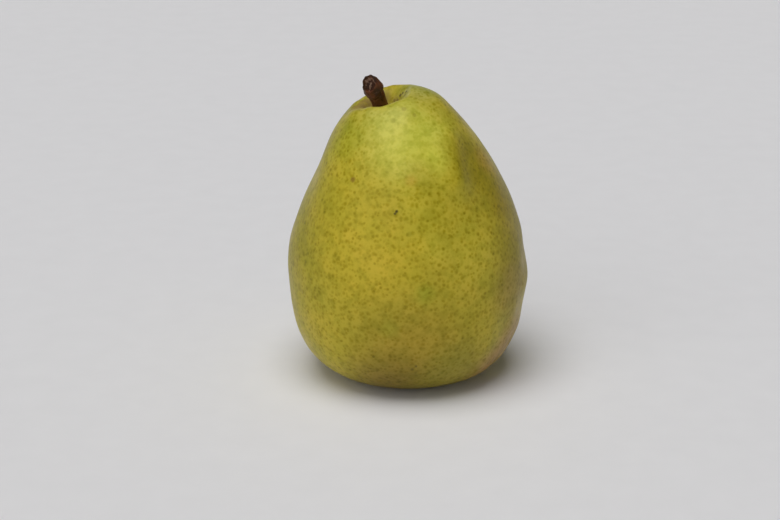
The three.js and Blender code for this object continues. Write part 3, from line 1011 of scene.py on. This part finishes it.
def calyx_material():
    """Dry papery brown, paler towards the tips of the sepals."""
    material, tree, shader, place = new_material("dried_calyx")
    grain = noise_node(tree, place, CALYX_GRAIN_SCALE, 4.0, 0.6)
    share = times(tree, math_node(tree, "ADD", grain, 0.35), attribute_node(tree, "tone"))
    tree.links.new(mix(tree, share, CALYX_DARK, CALYX_PALE), shader.inputs["Base Color"])
    tree.links.new(ramp(tree, grain, 0.3, 0.7, *CALYX_ROUGHNESS), shader.inputs["Roughness"])
    tree.links.new(bump_node(tree, grain, *DRY_BUMP), shader.inputs["Normal"])
    return material


def paper_material():
    material, tree, shader, place = new_material("studio_paper")
    fibre = noise_node(tree, place, PAPER_FIBRE_SCALE, 4.0)
    tree.links.new(mix(tree, fibre, PAPER_DARKER, PAPER_LIGHTER), shader.inputs["Base Color"])
    shader.inputs["Roughness"].default_value = PAPER_ROUGHNESS
    return material


# ---------------------------------------------------------------- floor, light and camera

FLOOR_RADIUS = 12.0
FLOOR_SIDES = 96

# The suns: azimuth and elevation in degrees, strength, and width in degrees
KEY_SUN = (235, 78, 1.90, 46)
FILL_SUN = (235, 35, 0.60, 60)

# The world's walls give way to its ceiling between two heights, from one strength to the other
WALL_TOP = 0.10
CEILING_START = 0.4
WALL_STRENGTH = 0.58
CEILING_STRENGTH = 0.06
BRIGHTER_TO_THE_LEFT = -0.15
WORLD_COLOUR = (1.0, 0.99, 1.01, 1.0)

CAMERA_AIM = Vector((-6.05 * MM, 0.0, 38.6 * MM))
CAMERA_ELEVATION = math.radians(20)
CAMERA_DISTANCE = 0.70
CAMERA_LENS = 95.0
CAMERA_SENSOR = 36.0


def make_floor():
    mesh = bpy.data.meshes.new("studio_floor")
    turns = [2 * math.pi * side / FLOOR_SIDES for side in range(FLOOR_SIDES)]
    ring = [(FLOOR_RADIUS * math.cos(turn), FLOOR_RADIUS * math.sin(turn), 0.0) for turn in turns]
    mesh.from_pydata(ring, [], [tuple(range(FLOOR_SIDES))])
    floor = bpy.data.objects.new("studio_floor", mesh)
    bpy.context.scene.collection.objects.link(floor)
    floor.data.materials.append(paper_material())


def add_sun(name, azimuth, elevation, power, width):
    """A broad soft light, so far away that it lights the whole floor evenly."""
    light = bpy.data.lights.new(name, "SUN")
    light.energy = power
    light.angle = math.radians(width)
    turn, lift = math.radians(azimuth), math.radians(elevation)
    towards = Vector((math.cos(lift) * math.cos(turn), math.cos(lift) * math.sin(turn), math.sin(lift)))
    lamp = bpy.data.objects.new(name, light)
    lamp.rotation_euler = towards.to_track_quat("Z", "Y").to_euler()
    bpy.context.scene.collection.objects.link(lamp)


def make_world():
    """Pale walls all round, a little brighter to the left, under a darker ceiling."""
    world = bpy.data.worlds.new("studio")
    world.use_nodes = True
    tree = world.node_tree
    tree.nodes.clear()
    place = node(tree, "ShaderNodeTexCoord").outputs["Generated"]
    parts = node(tree, "ShaderNodeSeparateXYZ", {"Vector": place}).outputs
    wall = ramp(tree, parts["Z"], WALL_TOP, CEILING_START, WALL_STRENGTH, CEILING_STRENGTH)
    side = math_node(tree, "ADD", times(tree, parts["X"], BRIGHTER_TO_THE_LEFT), 1.0)
    strength = times(tree, wall, side)
    background = node(tree, "ShaderNodeBackground", {"Color": WORLD_COLOUR, "Strength": strength})
    output = node(tree, "ShaderNodeOutputWorld")
    tree.links.new(background.outputs["Background"], output.inputs["Surface"])
    bpy.context.scene.world = world


def make_studio():
    make_world()
    add_sun("key", *KEY_SUN)
    add_sun("fill", *FILL_SUN)
    make_floor()


def make_camera():
    """The photograph's view: from the front, a little above the fruit."""
    camera = bpy.data.cameras.new("camera")
    camera.lens = CAMERA_LENS
    camera.sensor_width = CAMERA_SENSOR
    camera.clip_start = 0.01
    camera.clip_end = 100.0
    back = CAMERA_DISTANCE * math.cos(CAMERA_ELEVATION)
    above = CAMERA_DISTANCE * math.sin(CAMERA_ELEVATION)
    rig = bpy.data.objects.new("camera", camera)
    rig.location = CAMERA_AIM + Vector((0, -back, above))
    rig.rotation_euler = (CAMERA_AIM - rig.location).to_track_quat("-Z", "Y").to_euler()
    bpy.context.scene.collection.objects.link(rig)
    bpy.context.scene.camera = rig


# ---------------------------------------------------------------- putting it together

make_camera()
make_studio()
bpy.context.scene.view_settings.view_transform = "Standard"

fruit, shift = make_fruit()
fruit.data.materials.append(skin_material())
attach(fruit, "root")
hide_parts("fruit")

stem = make_stem(shift)
stem.data.materials.append(bark_material())
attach(stem, "root")
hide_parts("stem")

calyx = make_calyx()
calyx.data.materials.append(calyx_material())
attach(calyx, "root")
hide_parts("calyx")
